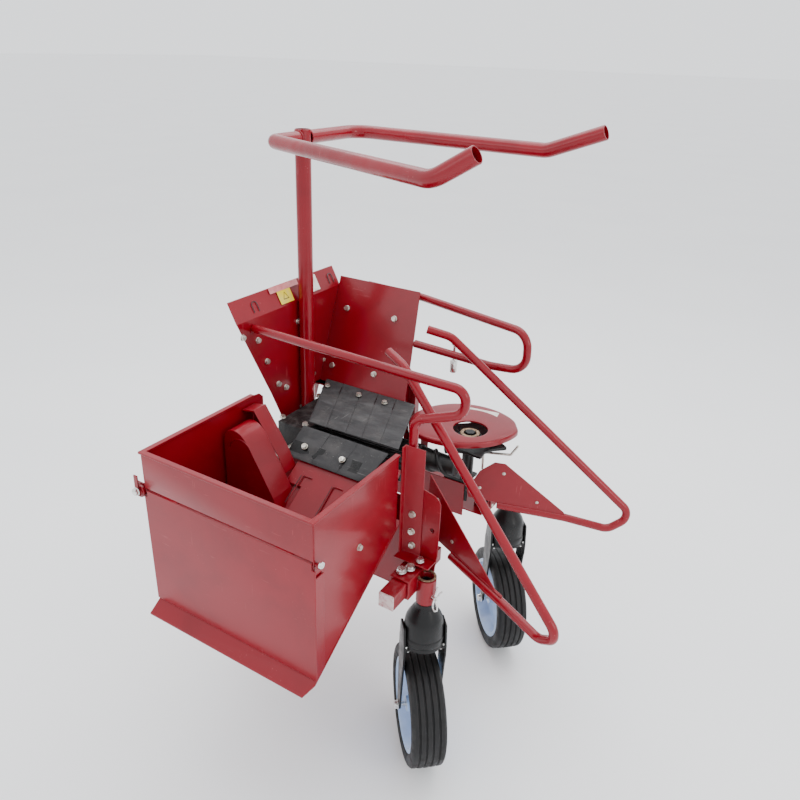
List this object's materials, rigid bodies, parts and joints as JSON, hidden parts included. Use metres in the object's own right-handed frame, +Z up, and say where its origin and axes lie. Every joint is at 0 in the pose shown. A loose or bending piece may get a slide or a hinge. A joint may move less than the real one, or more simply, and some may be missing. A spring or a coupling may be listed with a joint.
{
  "type": "single-row corn picker head",
  "caption": "Walking-tractor corn picker head: divider snouts on swivel casters, snapping rollers under rubber flaps, star wheel, ear deflector and side-opening ear box.",
  "frame": {"origin": "middle of the footprint, on the ground", "axes": "+X forward along the row, +Y to the machine's left, +Z up"},
  "size_m": [0.9166, 0.901, 1.41],
  "materials": {
    "red_paint": "gloss enamel",
    "black_paint": "semi-gloss",
    "zinc_steel": "zinc plated",
    "end_cap": "worn paint over bright steel",
    "blue_paint": "satin enamel",
    "tyre": "moulded",
    "flap_rubber": "worn sheet rubber",
    "cast_iron": "oiled"
  },
  "bodies": {
    "frame": {"near_side_frame": "red_paint", "far_side_frame": "red_paint", "near_upright": "red_paint", "far_upright": "red_paint", "near_divider_plate": "red_paint", "far_divider_plate": "red_paint", "near_gathering_hoop": "red_paint", "far_gathering_hoop": "red_paint", "near_guard_tube": "red_paint", "far_guard_tube": "red_paint", "near_axle_tube": "red_paint", "far_axle_tube": "red_paint", "near_caster_bracket": "red_paint", "far_caster_bracket": "red_paint", "ear_box_body": "red_paint", "chute_cover": "red_paint", "belt_guard": "red_paint", "shaft_guard": "red_paint", "shield_rear_wall": "red_paint", "shield_far_wall": "red_paint", "mast": "red_paint", "near_top_rail": "red_paint", "far_top_rail": "red_paint", "star_cover": "red_paint", "rear_beam": "red_paint", "near_stem": "black_paint", "far_stem": "black_paint", "upper_flap_strip": "black_paint", "lower_flap_strip": "black_paint", "near_lock_pin": "zinc_steel", "far_lock_pin": "zinc_steel", "door_hinge_rod": "zinc_steel", "star_post": "zinc_steel", "wire_hook": "zinc_steel", "hoop_clamp": "zinc_steel", "axle_tube_end_cap": "end_cap", "upper_flap": "flap_rubber", "lower_flap": "flap_rubber", "gearbox_case": "cast_iron", "gearbox_lid": "cast_iron"},
    "near_fork": {"near_caster_fork": "black_paint", "near_axle_bolt": "zinc_steel"},
    "near_wheel": {"near_rim": "blue_paint", "near_tyre": "tyre"},
    "far_fork": {"far_caster_fork": "black_paint", "far_axle_bolt": "zinc_steel"},
    "far_wheel": {"far_rim": "blue_paint", "far_tyre": "tyre"},
    "door": {"ear_box_door": "red_paint"},
    "latch": {"door_latch": "red_paint"},
    "star": {"star_wheel": "black_paint"},
    "near_roller_set": {"near_roller": "cast_iron", "near_roller_gear": "cast_iron", "bevel_gear": "cast_iron"},
    "far_roller_set": {"far_roller": "cast_iron", "far_roller_gear": "cast_iron"},
    "cross_shaft_set": {"cross_shaft": "zinc_steel", "bevel_pinion": "cast_iron", "input_pulley": "cast_iron"},
    "stand": {"parking_stand": "red_paint"}
  },
  "joints": [
    {"name": "near_caster_swivel", "type": "hinge", "parent": "frame", "child": "near_fork", "pos_m": [0.157, -0.1365, 0.391], "axis": [0, 0, 1], "continuous": true},
    {"name": "near_wheel_spin", "type": "hinge", "parent": "near_fork", "child": "near_wheel", "pos_m": [0.15306, -0.13197, 0.1415], "axis": [0.7547, 0.6561, 0], "continuous": true},
    {"name": "far_caster_swivel", "type": "hinge", "parent": "frame", "child": "far_fork", "pos_m": [0.157, 0.3175, 0.391], "axis": [0, 0, 1], "continuous": true},
    {"name": "far_wheel_spin", "type": "hinge", "parent": "far_fork", "child": "far_wheel", "pos_m": [0.15306, 0.32203, 0.1415], "axis": [0.7547, 0.6561, 0], "continuous": true},
    {"name": "door_swing", "type": "hinge", "parent": "frame", "child": "door", "pos_m": [-0.1465, -0.4135, 0.699], "axis": [-1, 0, 0], "range_deg": [0, 95]},
    {"name": "latch_turn", "type": "hinge", "parent": "frame", "child": "latch", "pos_m": [-0.384, -0.4185, 0.693], "axis": [0, 1, 0], "range_deg": [0, 90]},
    {"name": "star_spin", "type": "hinge", "parent": "frame", "child": "star", "pos_m": [0.071, 0.2165, 0.671], "axis": [0, 0, 1], "continuous": true},
    {"name": "near_roller_spin", "type": "hinge", "parent": "frame", "child": "near_roller_set", "pos_m": [-0.13, 0.0525, 0.636], "axis": [1, 0, 0], "continuous": true},
    {"name": "far_roller_spin", "type": "hinge", "parent": "frame", "child": "far_roller_set", "pos_m": [-0.13, 0.1285, 0.636], "axis": [1, 0, 0], "continuous": true},
    {"name": "cross_shaft_spin", "type": "hinge", "parent": "frame", "child": "cross_shaft_set", "pos_m": [-0.308, -0.0695, 0.636], "axis": [0, 1, 0], "continuous": true},
    {"name": "stand_fold", "type": "hinge", "parent": "frame", "child": "stand", "pos_m": [-0.4303, 0.0905, 0.429], "axis": [0, 1, 0], "range_deg": [0, 85]}
  ],
  "couplings": [
    {"joint": "far_roller_spin", "follows": "near_roller_spin", "ratio": -1},
    {"joint": "cross_shaft_spin", "follows": "near_roller_spin", "ratio": 1}
  ]
}
